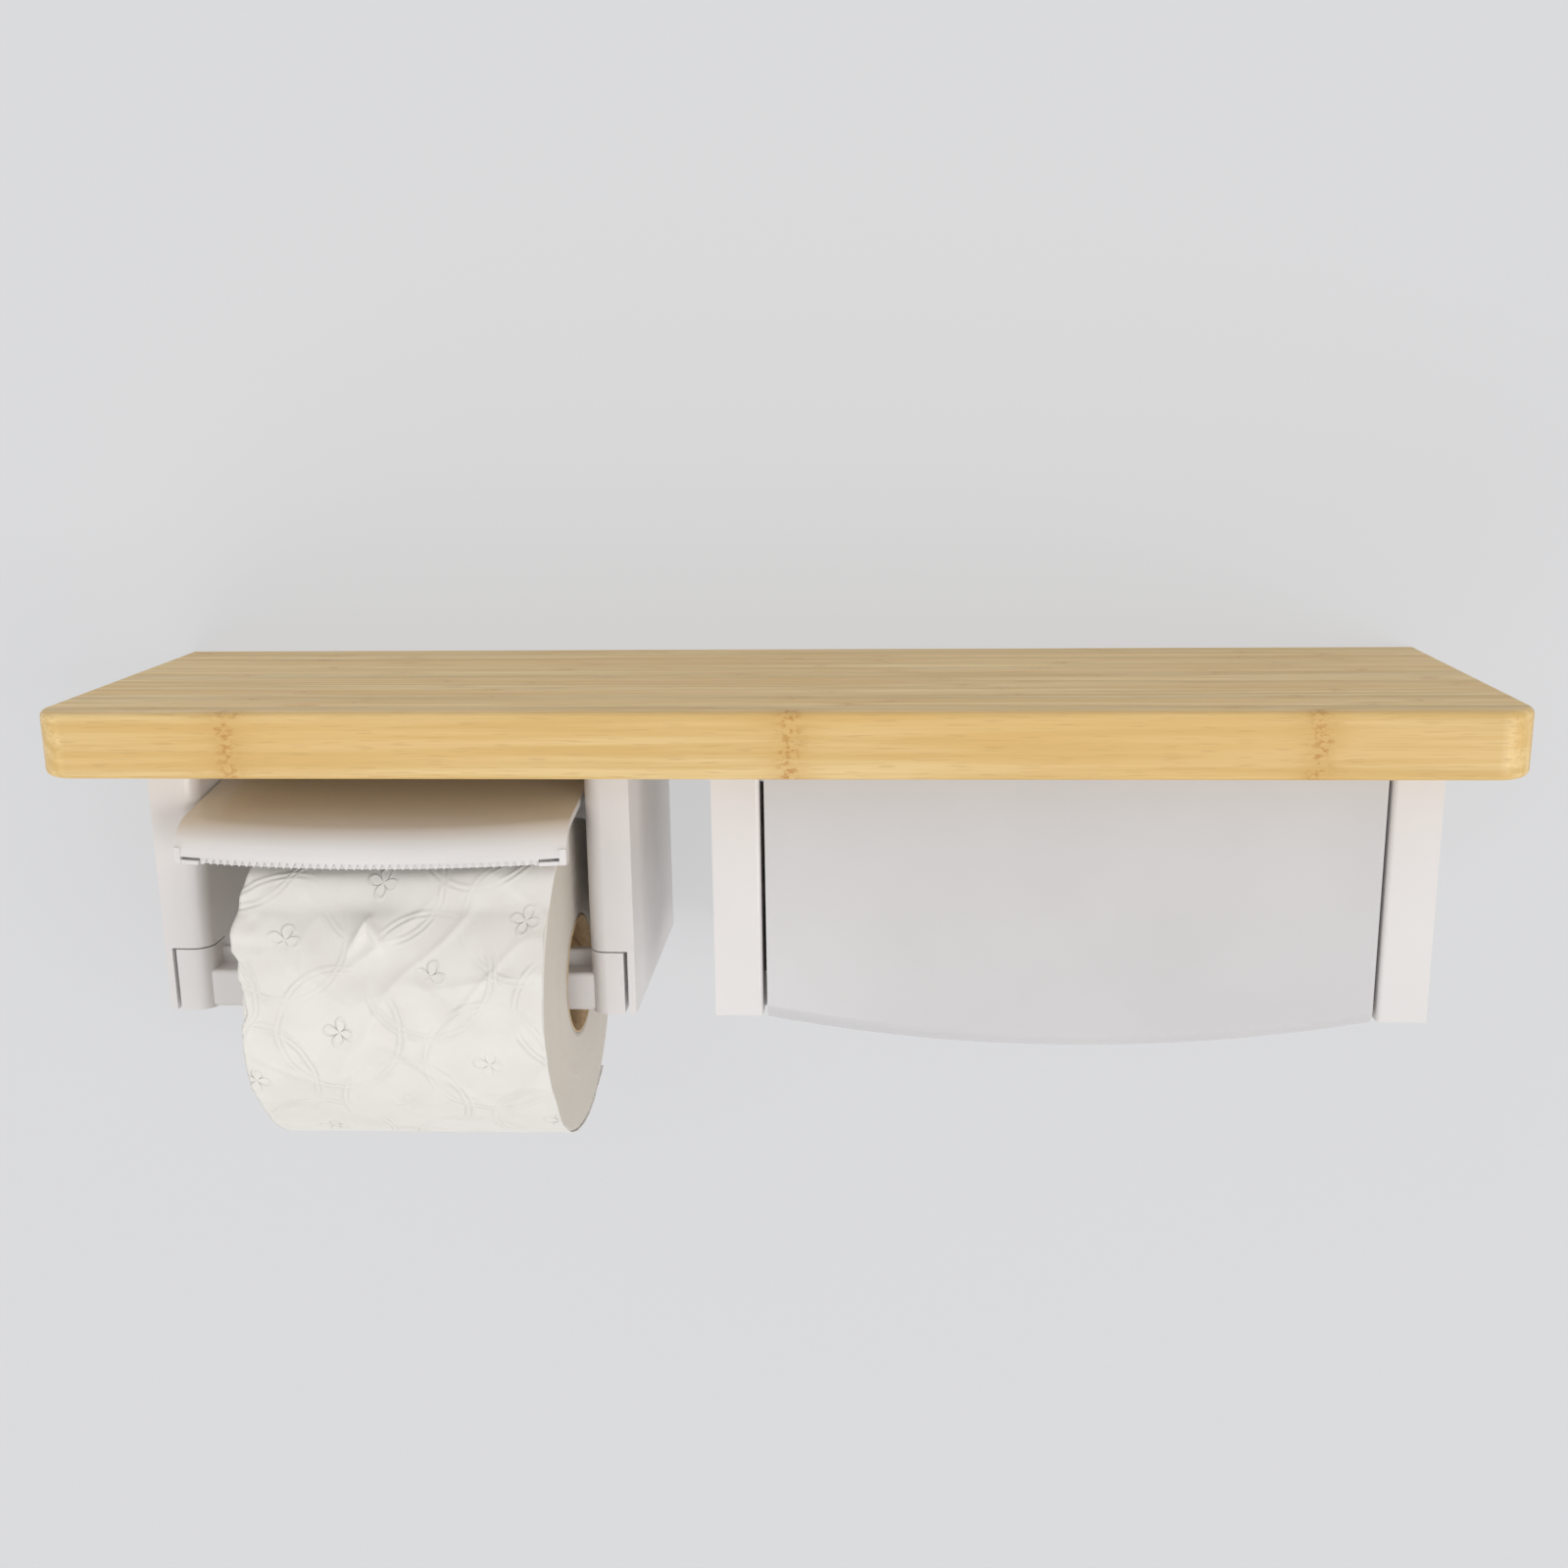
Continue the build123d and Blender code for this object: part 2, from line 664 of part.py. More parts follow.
flap_back = front + flap_deep
flap_outside = flap_form(0.0, flap_top, flap_back, flap_deep, flap_lip)
flap_inside = flap_form(flap_wall, flap_top + 5, flap_back + 1, flap_deep + 1 - flap_wall, flap_lip - flap_wall)
with BuildPart() as storage_flap:
    add(flap_outside)
    add(flap_inside, mode=Mode.SUBTRACT)
    for side in (flap_left, flap_right - flap_ear_thick):
        with BuildSketch(Plane.YZ.offset(side)):
            with Locations(flap_pin):
                Circle(flap_ear)
        extrude(amount=flap_ear_thick)
        with BuildSketch(Plane.YZ.offset(side)):
            with Locations(flap_pin):
                Circle(pin_r + running)
        extrude(amount=flap_ear_thick, mode=Mode.SUBTRACT)
    brow_edges = storage_flap.faces().sort_by(Axis.Y)[0].edges().sort_by(Axis.Z)[-1]
    fillet(brow_edges, flap_brow)
finish(storage_flap, "storage_flap")

# Tray between the cheeks
with BuildPart() as storage_tray:
    with BuildSketch(Plane.XY.offset(house_bottom)):
        with Locations(((store_left + store_right) / 2, (tray_back + tray_front) / 2)):
            Rectangle(store_right - store_left, tray_back - tray_front)
    extrude(amount=tray_tall)
    with BuildSketch(Plane.XY.offset(house_bottom + wall)):
        with Locations(((store_left + store_right) / 2, (tray_back + tray_front) / 2)):
            Rectangle(store_right - store_left - 2 * wall, tray_back - tray_front - 2 * wall)
    extrude(amount=tray_tall, mode=Mode.SUBTRACT)
    with BuildSketch(Plane.YZ.offset(store_left)):
        with Locations(*tray_screws_yz):
            Circle(shank_r + shank_free)
    extrude(amount=store_right - store_left, mode=Mode.SUBTRACT)
finish(storage_tray, "storage_tray")

buffer_long = tray_front - (front + flap_wall) - buffer_gap
with BuildPart() as flap_buffers:
    with BuildSketch(Plane.XZ.offset(-tray_front)):
        with Locations((flap_left + buffer_inset, buffer_z), (flap_right - buffer_inset, buffer_z)):
            Circle(buffer_r)
    extrude(amount=buffer_long)
    fillet(flap_buffers.edges().group_by(Axis.Y)[0], buffer_round)
finish(flap_buffers, "flap_buffers")


# Screws
def place_screws(screw, planes, label):
    with BuildPart() as group:
        with Locations(*[Location(plane) for plane in planes]):
            add(screw)
    finish(group, label)


top_screw = make_screw(sheet + pilot_depth - shank_free)
flange_z = shelf_under - sheet
place_screws(top_screw, [Plane(origin=(x, y, flange_z)) for x, y in holder_screws + store_screws], "shelf_screws")

side_screw = make_screw(wall + sheet + side_screw_grip)


def side_planes(left, right, places):
    """Planes on two facing inner walls, each looking into its wall."""
    leftward = [Plane(origin=(left, y, z), x_dir=(0, 1, 0), z_dir=(-1, 0, 0)) for y, z in places]
    rightward = [Plane(origin=(right, y, z), x_dir=(0, 1, 0), z_dir=(1, 0, 0)) for y, z in places]
    return leftward + rightward


place_screws(side_screw, side_planes(bay_left, bay_right, flange_screws), "arm_screws")
place_screws(side_screw, side_planes(store_left, store_right, flange_screws), "cheek_screws")
place_screws(
    side_screw, side_planes(store_left + wall, store_right - wall, tray_screws_yz), "tray_screws")
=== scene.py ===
import json
import math

import bpy
import numpy as np
from mathutils import Matrix, Vector


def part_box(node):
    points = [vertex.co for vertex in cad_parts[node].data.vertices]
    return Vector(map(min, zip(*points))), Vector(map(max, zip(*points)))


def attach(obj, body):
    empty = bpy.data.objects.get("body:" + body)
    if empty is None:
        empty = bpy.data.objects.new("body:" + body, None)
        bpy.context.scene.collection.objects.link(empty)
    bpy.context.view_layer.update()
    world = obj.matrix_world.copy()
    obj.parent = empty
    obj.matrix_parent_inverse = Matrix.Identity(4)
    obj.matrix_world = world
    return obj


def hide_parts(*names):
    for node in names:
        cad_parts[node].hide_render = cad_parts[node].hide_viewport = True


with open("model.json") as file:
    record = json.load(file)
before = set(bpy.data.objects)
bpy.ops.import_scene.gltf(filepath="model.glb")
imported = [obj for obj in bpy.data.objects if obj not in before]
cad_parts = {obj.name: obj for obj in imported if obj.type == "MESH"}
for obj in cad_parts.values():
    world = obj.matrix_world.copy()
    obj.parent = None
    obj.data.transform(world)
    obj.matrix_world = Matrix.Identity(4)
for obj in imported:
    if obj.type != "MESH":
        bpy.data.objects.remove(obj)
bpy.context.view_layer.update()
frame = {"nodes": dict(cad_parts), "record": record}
nodes = frame["nodes"]
print("frame loaded:", len(nodes), "nodes")


# Node helpers: a value is either a socket, which is linked, or a constant
def put(tree, kind, inputs=(), **settings):
    node = tree.nodes.new("ShaderNode" + kind)
    for key, value in settings.items():
        setattr(node, key, value)
    pairs = inputs.items() if isinstance(inputs, dict) else enumerate(inputs)
    for key, value in pairs:
        if isinstance(value, bpy.types.NodeSocket):
            tree.links.new(value, node.inputs[key])
        elif value is not None:
            node.inputs[key].default_value = value
    return node


def calc(tree, operation, *values):
    return put(tree, "Math", values, operation=operation).outputs[0]


def times(tree, first, *others):
    for other in others:
        first = calc(tree, "MULTIPLY", first, other)
    return first


def plus(tree, first, second):
    return calc(tree, "ADD", first, second)


def minus(tree, first, second):
    return calc(tree, "SUBTRACT", first, second)


def ratio(tree, first, second):
    return calc(tree, "DIVIDE", first, second)


def mixed(tree, share, first, second, way="MIX"):
    node = put(tree, "Mix", {0: share, 6: first, 7: second}, data_type="RGBA", blend_type=way)
    return node.outputs[2]


def remap(tree, value, low, high, toLow=0.0, toHigh=1.0):
    node = put(tree, "MapRange", [value, low, high, toLow, toHigh], interpolation_type="SMOOTHSTEP")
    return node.outputs[0]


def stretched(tree, x, y, z, sx, sy, sz):
    parts = [times(tree, part, scale) for part, scale in ((x, sx), (y, sy), (z, sz))]
    return put(tree, "CombineXYZ", parts).outputs[0]


def noise(tree, vector, scale=1.0, detail=2.0, rough=0.5):
    inputs = {"Vector": vector, "Scale": scale, "Detail": detail, "Roughness": rough}
    return put(tree, "TexNoise", inputs).outputs[0]


# Bell curve: e to the power of minus (value / width) squared
def bell(tree, value, width):
    scaled = ratio(tree, value, width)
    return calc(tree, "EXPONENT", times(tree, scaled, scaled, -1.0))


# Bump of a height, whose tall is the height in metres that 1 stands for
def raised(tree, height, strength, tall, under=None):
    inputs = {"Strength": strength, "Distance": tall, "Height": height, "Normal": under}
    return put(tree, "Bump", inputs).outputs[0]


# Distance of a value from the middle of its lattice cell, from 0 to a half
def fromCellMiddle(tree, value):
    return calc(tree, "ABSOLUTE", minus(tree, calc(tree, "FRACT", value), 0.5))


# Depth and height of a place, as seen from the roll's axis
def fromAxis(tree, y, z):
    return minus(tree, y, rollMiddle.y), minus(tree, z, rollMiddle.z)


def newGroup(name, inputs, outputs):
    tree = bpy.data.node_groups.new(name, "ShaderNodeTree")
    for label, kind, value in inputs:
        socket = tree.interface.new_socket(label, in_out="INPUT", socket_type="NodeSocket" + kind)
        if value is not None:
            socket.default_value = value
    for label, kind in outputs:
        tree.interface.new_socket(label, in_out="OUTPUT", socket_type="NodeSocket" + kind)
    return tree, tree.nodes.new("NodeGroupInput"), tree.nodes.new("NodeGroupOutput")


def useGroup(tree, group, inputs):
    node = tree.nodes.new("ShaderNodeGroup")
    node.node_tree = group
    for key, value in inputs.items():
        if isinstance(value, bpy.types.NodeSocket):
            tree.links.new(value, node.inputs[key])
        else:
            node.inputs[key].default_value = value
    return node


def newMaterial(name):
    material = bpy.data.materials.new(name)
    material.use_nodes = True
    tree = material.node_tree
    tree.nodes.clear()
    surface = put(tree, "BsdfPrincipled")
    put(tree, "OutputMaterial", [surface.outputs[0]])
    place = put(tree, "TexCoord").outputs["Object"]
    return material, tree, surface, place


# Shared effect: unevenness of a surface at two sizes, as a mask from 0 to 1 and as a height
def buildUnevenness():
    tree, start, end = newGroup(
        "surfaceUnevenness",
        [("Vector", "Vector", None), ("Coarse", "Float", 30.0), ("Fine", "Float", 900.0)],
        [("Mask", "Float"), ("Height", "Float")])
    coarse = noise(tree, start.outputs[0], start.outputs[1], 3.0)
    fine = noise(tree, start.outputs[0], start.outputs[2], 2.0)
    tree.links.new(remap(tree, coarse, 0.3, 0.7), end.inputs[0])
    tree.links.new(plus(tree, times(tree, coarse, 0.4), fine), end.inputs[1])
    return tree


# Shared effect: long fibres along X, seen as streaks on a face and as dots on an end
def buildFibres():
    tree, start, end = newGroup(
        "longFibres",
        [("Vector", "Vector", None), ("Phase", "Float", 0.0)],
        [("Streak", "Float"), ("Fibre", "Float"), ("Fleck", "Float")])
    x, y, z = put(tree, "SeparateXYZ", [start.outputs[0]]).outputs
    x = plus(tree, x, start.outputs[1])
    streak = noise(tree, stretched(tree, x, y, z, 9.0, 330.0, 330.0), 1.0, 2.0, 0.45)
    fibre = noise(tree, stretched(tree, x, y, z, 26.0, 1500.0, 1500.0), 1.0, 2.0, 0.6)
    fleck = noise(tree, stretched(tree, x, y, z, 90.0, 1900.0, 1900.0), 1.0, 0.0)
    tree.links.new(remap(tree, streak, 0.32, 0.68), end.inputs[0])
    tree.links.new(remap(tree, fibre, 0.3, 0.7), end.inputs[1])
    tree.links.new(remap(tree, fleck, 0.6, 0.74), end.inputs[2])
    return tree


# Shared effect: rings on two interleaved square lattices, each a pair of fine lines, with four petals in
# its middle; the position comes in metres along the paper, and the height goes from 0 to 1
def buildPattern():
    tree, start, end = newGroup(
        "pressedPattern",
        [("Vector", "Vector", None), ("Cell", "Float", 0.050), ("Ring", "Float", 0.0215),
         ("Petal", "Float", 0.0048), ("Line", "Float", 0.0007), ("Apart", "Float", 0.0019)],
        [("Height", "Float")])
    vector, cell, ring, petal, line, apart = start.outputs[:6]
    turned = put(tree, "VectorRotate", {"Vector": vector, "Axis": (0, 0, 1), "Angle": -0.24}).outputs[0]
    u, v, _ = put(tree, "SeparateXYZ", [turned]).outputs
    total = 0.0
    for shift in (0.0, 0.5):
        local = []
        for part in (u, v):
            unit = calc(tree, "FRACT", plus(tree, ratio(tree, part, cell), shift))
            local.append(times(tree, minus(tree, unit, 0.5), cell))
        across, up = local
        away = calc(tree, "SQRT", plus(tree, times(tree, across, across), times(tree, up, up)))
        beyond = minus(tree, away, ring)
        innerLine = bell(tree, plus(tree, beyond, apart), line)
        pair = calc(tree, "MAXIMUM", bell(tree, beyond, line), innerLine)
        double = times(tree, calc(tree, "ARCTAN2", up, across), 2.0)
        reach = calc(tree, "SQRT", calc(tree, "ABSOLUTE", calc(tree, "COSINE", double)))
        leaf = bell(tree, minus(tree, away, times(tree, petal, reach)), line)
        leaf = times(tree, leaf, calc(tree, "LESS_THAN", away, times(tree, petal, 1.5)))
        total = calc(tree, "MAXIMUM", total, calc(tree, "MAXIMUM", pair, leaf))
    fade = remap(tree, noise(tree, vector, 55.0, 1.0), 0.36, 0.60, 0.10, 1.0)
    tree.links.new(times(tree, total, fade), end.inputs[0])
    return tree


unevenness = buildUnevenness()
longFibres = buildFibres()
pressedPattern = buildPattern()
print("shared shader groups ready")

# Bamboo board, glued up from strips that stand on edge
bamboo = {
    "front": -0.130, "stripWide": 0.0058,
    "light": (0.850, 0.650, 0.330, 1), "dark": (0.670, 0.450, 0.170, 1),
    "tan": (0.730, 0.470, 0.170, 1), "fleck": (0.480, 0.290, 0.110, 1),
    "knuckle": (0.500, 0.245, 0.062, 1), "knuckleHalo": (0.610, 0.365, 0.115, 1),
    "middleKnuckle": 0.0082, "spacing": 0.1732, "leftSpacing": 0.1821, "rightSpacing": 0.1643,
    "knuckleWide": 0.0030, "haloWide": 0.0085, "wander": 0.010, "swerve": 0.005, "phase": 0.371,
    # How strongly each of them colours the board
    "fibreShare": 0.34, "fleckShare": 0.30, "haloShare": 0.42, "knuckleShare": 0.85,
    "markShare": 0.75, "glueShare": 0.22, "glueWide": 0.03,
    "marks": [(-0.078, -0.0847), (0.146, -0.0764)], "markLong": 0.0085, "markWide": 0.0007,
}


def makeBamboo(v):
    material, tree, surface, place = newMaterial("bambooBoard")
    x, y, z = put(tree, "SeparateXYZ", [place]).outputs
    strips = ratio(tree, minus(tree, y, v["front"]), v["stripWide"])
    strip = calc(tree, "FLOOR", strips)
    chance = put(tree, "TexWhiteNoise", {"W": strip}, noise_dimensions="1D")
    luck = chance.outputs["Value"]
    inner = calc(tree, "GREATER_THAN", strip, 0.5)
    # Distance along the strip to its nearest knuckle
    fromMiddle = minus(tree, x, v["middleKnuckle"])
    leftSide = calc(tree, "LESS_THAN", fromMiddle, 0.0)
    leftRate, rightRate = v["spacing"] / v["leftSpacing"], v["spacing"] / v["rightSpacing"]
    rate = calc(tree, "MULTIPLY_ADD", leftSide, leftRate - rightRate, rightRate)
    shift = times(tree, luck, inner, v["spacing"])
    along = plus(tree, times(tree, fromMiddle, rate), shift)
    turned = calc(tree, "FLOORED_MODULO", plus(tree, along, v["spacing"] / 2), v["spacing"])
    gap = minus(tree, turned, v["spacing"] / 2)
    wander = noise(tree, stretched(tree, x, y, z, 60.0, 260.0, 260.0), 1.0, 3.0, 0.6)
    gap = plus(tree, gap, times(tree, minus(tree, wander, 0.5), v["wander"]))
    halo = bell(tree, gap, v["haloWide"])
    core = bell(tree, gap, v["knuckleWide"])
    # The fibres swerve at a knuckle
    swerve = times(tree, minus(tree, wander, 0.5), times(tree, halo, v["swerve"]))
    bent = put(tree, "CombineXYZ", [x, plus(tree, y, swerve), plus(tree, z, swerve)]).outputs[0]
    grain = useGroup(tree, longFibres, {"Vector": bent, "Phase": times(tree, strip, v["phase"])})
    streak, fibre, fleck = grain.outputs
    wide = noise(tree, stretched(tree, x, y, z, 5.0, 90.0, 90.0), 1.0, 1.0)
    colour = mixed(tree, streak, v["light"], v["dark"])
    colour = mixed(tree, remap(tree, wide, 0.35, 0.75, 0.0, 0.65), colour, v["tan"])
    colour = mixed(tree, times(tree, fibre, v["fibreShare"]), colour, v["dark"])
    colour = mixed(tree, times(tree, fleck, v["fleckShare"]), colour, v["fleck"])
    # Each strip has its own tone
    tone = remap(tree, luck, 0.0, 1.0, 0.93, 1.05)
    tone = put(tree, "CombineXYZ", [tone, tone, tone]).outputs[0]
    colour = mixed(tree, 1.0, colour, tone, "MULTIPLY")
    # Knuckles: a darker zone with small broken marks across the fibres
    marks = noise(tree, stretched(tree, x, y, z, 420.0, 620.0, 620.0), 1.0, 2.0, 0.6)
    marks = times(tree, remap(tree, marks, 0.44, 0.62), core)
    strength = calc(tree, "MULTIPLY_ADD", inner, -0.55, 1.0)
    haloed = times(tree, halo, v["haloShare"], strength)
    colour = mixed(tree, haloed, colour, v["knuckleHalo"])
    marked = times(tree, marks, v["knuckleShare"], strength)
    colour = mixed(tree, marked, colour, v["knuckle"])
    # Two short dark fibres on the top
    for markX, markY in v["marks"]:
        long = bell(tree, minus(tree, x, markX), v["markLong"])
        thin = bell(tree, minus(tree, y, markY), v["markWide"])
        spot = times(tree, long, thin, v["markShare"])
        colour = mixed(tree, spot, colour, v["fleck"])
    # Glue lines between the strips
    line = bell(tree, minus(tree, fromCellMiddle(tree, strips), 0.5), v["glueWide"])
    colour = mixed(tree, times(tree, line, v["glueShare"]), colour, v["fleck"])
    height = plus(tree, times(tree, fibre, 0.6), times(tree, marks, -0.8))
    tree.links.new(colour, surface.inputs["Base Color"])
    tree.links.new(raised(tree, height, 0.35, 0.00006), surface.inputs["Normal"])
    tree.links.new(remap(tree, fibre, 0.0, 1.0, 0.36, 0.48), surface.inputs["Roughness"])
    surface.inputs["Specular IOR Level"].default_value = 0.3
    return material


# Moulded white plastic: colour, roughness and how much it varies
plastics = {
    "housing_white": {"colour": (0.735, 0.705, 0.695, 1), "rough": 0.30, "spread": 0.05, "peel": 0.05},
    "cover_white": {"colour": (0.730, 0.700, 0.685, 1), "rough": 0.12, "spread": 0.03, "peel": 0.02},
    # The flap's white is darker and greyer than the housing's: painted shade that stands for the dimmer
    # light on the flap
    "flap_white": {"colour": (0.612, 0.598, 0.604, 1), "rough": 0.16, "spread": 0.04, "peel": 0.03},
    "peg_white": {"colour": (0.735, 0.705, 0.695, 1), "rough": 0.28, "spread": 0.05, "peel": 0.05},
    "blade_white": {"colour": (0.730, 0.705, 0.695, 1), "rough": 0.35, "spread": 0.06, "peel": 0.06},
}


def makePlastic(name, v):
    material, tree, surface, place = newMaterial(name)
    uneven = useGroup(tree, unevenness, {"Vector": place, "Coarse": 24.0, "Fine": 520.0})
    mask, height = uneven.outputs
    darker = tuple(0.965 * part for part in v["colour"][:3]) + (1,)
    tree.links.new(mixed(tree, mask, v["colour"], darker), surface.inputs["Base Color"])
    low, high = v["rough"] - v["spread"] / 2, v["rough"] + v["spread"] / 2
    tree.links.new(remap(tree, mask, 0.0, 1.0, low, high), surface.inputs["Roughness"])
    tree.links.new(raised(tree, height, v["peel"], 0.0001), surface.inputs["Normal"])
    surface.inputs["IOR"].default_value = 1.5
    return material


# Zinc plated, ground and drawn steel: the dull plating is less of a mirror than the rest
steels = {
    "bracket_steel": {"colour": (0.69, 0.675, 0.66, 1), "metal": 0.4, "rough": 0.50, "spread": 0.12,
                      "coarse": 160.0, "fine": 1800.0},
    "screw_steel": {"colour": (0.66, 0.66, 0.67, 1), "metal": 1.0, "rough": 0.26, "spread": 0.10,
                    "coarse": 400.0, "fine": 3000.0},
    "pin_steel": {"colour": (0.60, 0.60, 0.61, 1), "metal": 1.0, "rough": 0.22, "spread": 0.08,
                  "coarse": 300.0, "fine": 4000.0},
    "spring_steel": {"colour": (0.42, 0.42, 0.44, 1), "metal": 1.0, "rough": 0.34, "spread": 0.12,
                     "coarse": 500.0, "fine": 5000.0},
}


def makeSteel(name, v):
    material, tree, surface, place = newMaterial(name)
    uneven = useGroup(tree, unevenness, {"Vector": place, "Coarse": v["coarse"], "Fine": v["fine"]})
    mask, height = uneven.outputs
    spangle = put(tree, "TexVoronoi", {"Vector": place, "Scale": v["coarse"]}).outputs["Color"]
    grey = put(tree, "RGBToBW", [spangle]).outputs[0]
    shade = remap(tree, grey, 0.2, 0.8, 0.94, 1.03)
    shade = put(tree, "CombineXYZ", [shade, shade, shade]).outputs[0]
    tree.links.new(mixed(tree, 1.0, v["colour"], shade, "MULTIPLY"), surface.inputs["Base Color"])
    low, high = v["rough"] - v["spread"] / 2, v["rough"] + v["spread"] / 2
    tree.links.new(remap(tree, mask, 0.0, 1.0, low, high), surface.inputs["Roughness"])
    tree.links.new(raised(tree, height, 0.08, 0.00005), surface.inputs["Normal"])
    surface.inputs["Metallic"].default_value = v["metal"]
    return material


rubber = {"colour": (0.60, 0.60, 0.59, 1), "dust": (0.68, 0.68, 0.67, 1)}


def makeRubber(v):
    material, tree, surface, place = newMaterial("paleRubber")
    uneven = useGroup(tree, unevenness, {"Vector": place, "Coarse": 300.0, "Fine": 2500.0})
    mask, height = uneven.outputs
    tree.links.new(mixed(tree, mask, v["colour"], v["dust"]), surface.inputs["Base Color"])
    tree.links.new(remap(tree, mask, 0.0, 1.0, 0.62, 0.8), surface.inputs["Roughness"])
    tree.links.new(raised(tree, height, 0.2, 0.0001), surface.inputs["Normal"])
    return material


# Roll: middle of its axis, radius, and half its width, as the CAD node has them
lowCorner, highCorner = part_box("paper_roll")
rollMiddle = (lowCorner + highCorner) / 2
rollRadius = (highCorner.z - lowCorner.z) / 2
rollHalf = (highCorner.x - lowCorner.x) / 2
coreLow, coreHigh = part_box("cardboard_core")
coreRadius = (coreHigh.z - coreLow.z) / 2

tissue = {
    "colour": (0.770, 0.742, 0.700, 1), "shade": (0.728, 0.694, 0.645, 1),
    "endColour": (0.640, 0.594, 0.524, 1), "endShade": (0.588, 0.536, 0.466, 1),
    "plyPitch": 0.00042, "pressTall": 0.00034,
}


def makeTissue(v):
    material, tree, surface, place = newMaterial("softTissue")
    uneven = useGroup(tree, unevenness, {"Vector": place, "Coarse": 70.0, "Fine": 1500.0})
    mask, height = uneven.outputs
    fluff = noise(tree, place, 4200.0, 2.0, 0.7)
    x, y, z = put(tree, "SeparateXYZ", [place]).outputs
    across, up = fromAxis(tree, y, z)
    radius = calc(tree, "SQRT", plus(tree, times(tree, across, across), times(tree, up, up)))
    wobble = times(tree, noise(tree, place, 90.0, 2.0), 0.0012)
    turns = ratio(tree, plus(tree, radius, wobble), v["plyPitch"])
    layers = {"W": turns, "Scale": 1.0, "Detail": 2.0}
    ply = put(tree, "TexNoise", layers, noise_dimensions="1D").outputs[0]
    ends = put(tree, "Attribute", attribute_name="ends").outputs["Fac"]
    side = mixed(tree, times(tree, mask, 0.6), v["colour"], v["shade"])
    end = mixed(tree, remap(tree, ply, 0.3, 0.7), v["endColour"], v["endShade"])
    tree.links.new(mixed(tree, ends, side, end), surface.inputs["Base Color"])
    fine = plus(tree, times(tree, height, 0.6), times(tree, fluff, 0.5))
    relief = plus(tree, fine, times(tree, ply, ends, 2.2))
    fluffed = raised(tree, relief, 0.5, 0.00012)
    flat = put(tree, "Attribute", attribute_name="flat").outputs["Vector"]
    pressed = useGroup(tree, pressedPattern, {"Vector": flat}).outputs[0]
    pressed = times(tree, pressed, minus(tree, 1.0, ends))
    embossed = raised(tree, pressed, 1.0, v["pressTall"], fluffed)
    tree.links.new(embossed, surface.inputs["Normal"])
    tree.links.new(remap(tree, mask, 0.0, 1.0, 0.9, 1.0), surface.inputs["Roughness"])
    surface.inputs["Sheen Weight"].default_value = 0.15
    return material


cardboard = {
    "colour": (0.620, 0.450, 0.270, 1), "shade": (0.520, 0.365, 0.205, 1),
    "seam": (0.360, 0.240, 0.125, 1), "seamPitch": 0.072, "seamWide": 0.0006,
}


def makeCardboard(v):
    material, tree, surface, place = newMaterial("brownBoard")
    x, y, z = put(tree, "SeparateXYZ", [place]).outputs
    across, up = fromAxis(tree, y, z)
    turn = ratio(tree, calc(tree, "ARCTAN2", up, across), 2 * math.pi)
    # Spiral seam: a line that climbs one pitch in each turn
    climb = plus(tree, ratio(tree, x, v["seamPitch"]), turn)
    seam = minus(tree, fromCellMiddle(tree, climb), 0.5)
    seam = bell(tree, seam, v["seamWide"] / v["seamPitch"])
    pulp = noise(tree, stretched(tree, x, y, z, 900.0, 500.0, 500.0), 1.0, 3.0, 0.6)
    colour = mixed(tree, remap(tree, pulp, 0.35, 0.65), v["colour"], v["shade"])
    colour = mixed(tree, times(tree, seam, 0.8), colour, v["seam"])
    tree.links.new(colour, surface.inputs["Base Color"])
    height = minus(tree, times(tree, pulp, 0.5), seam)
    tree.links.new(raised(tree, height, 0.5, 0.0001), surface.inputs["Normal"])
    tree.links.new(remap(tree, pulp, 0.3, 0.7, 0.78, 0.9), surface.inputs["Roughness"])
    return material


materials = {
    "bamboo": makeBamboo(bamboo), "buffer_rubber": makeRubber(rubber),
    "tissue": makeTissue(tissue), "cardboard": makeCardboard(cardboard),
}
for slotName, values in plastics.items():
    materials[slotName] = makePlastic(slotName, values)
for slotName, values in steels.items():
    materials[slotName] = makeSteel(slotName, values)
print("materials ready:", len(materials))

for part in frame["record"]["subparts"]:
    mesh = nodes[part["node"]].data
    mesh.materials.clear()
    mesh.materials.append(materials[part["material_slot"]])


# Value noise: random heights on a square lattice, joined by smooth steps
def valueNoise(u, v, seed):
    table = np.random.default_rng(seed).random((64, 64))
    iu, iv = np.floor(u).astype(int), np.floor(v).astype(int)
    fu, fv = u - iu, v - iv
    fu, fv = fu * fu * (3 - 2 * fu), fv * fv * (3 - 2 * fv)
    near = table[iu % 64, iv % 64] * (1 - fu) + table[(iu + 1) % 64, iv % 64] * fu
    far = table[iu % 64, (iv + 1) % 64] * (1 - fu) + table[(iu + 1) % 64, (iv + 1) % 64] * fu
    return near * (1 - fv) + far * fv


# Smooth step from 0 at low to 1 at high
def eased(value, low, high):
    t = np.clip((value - low) / (high - low), 0, 1)
    return t * t * (3 - 2 * t)


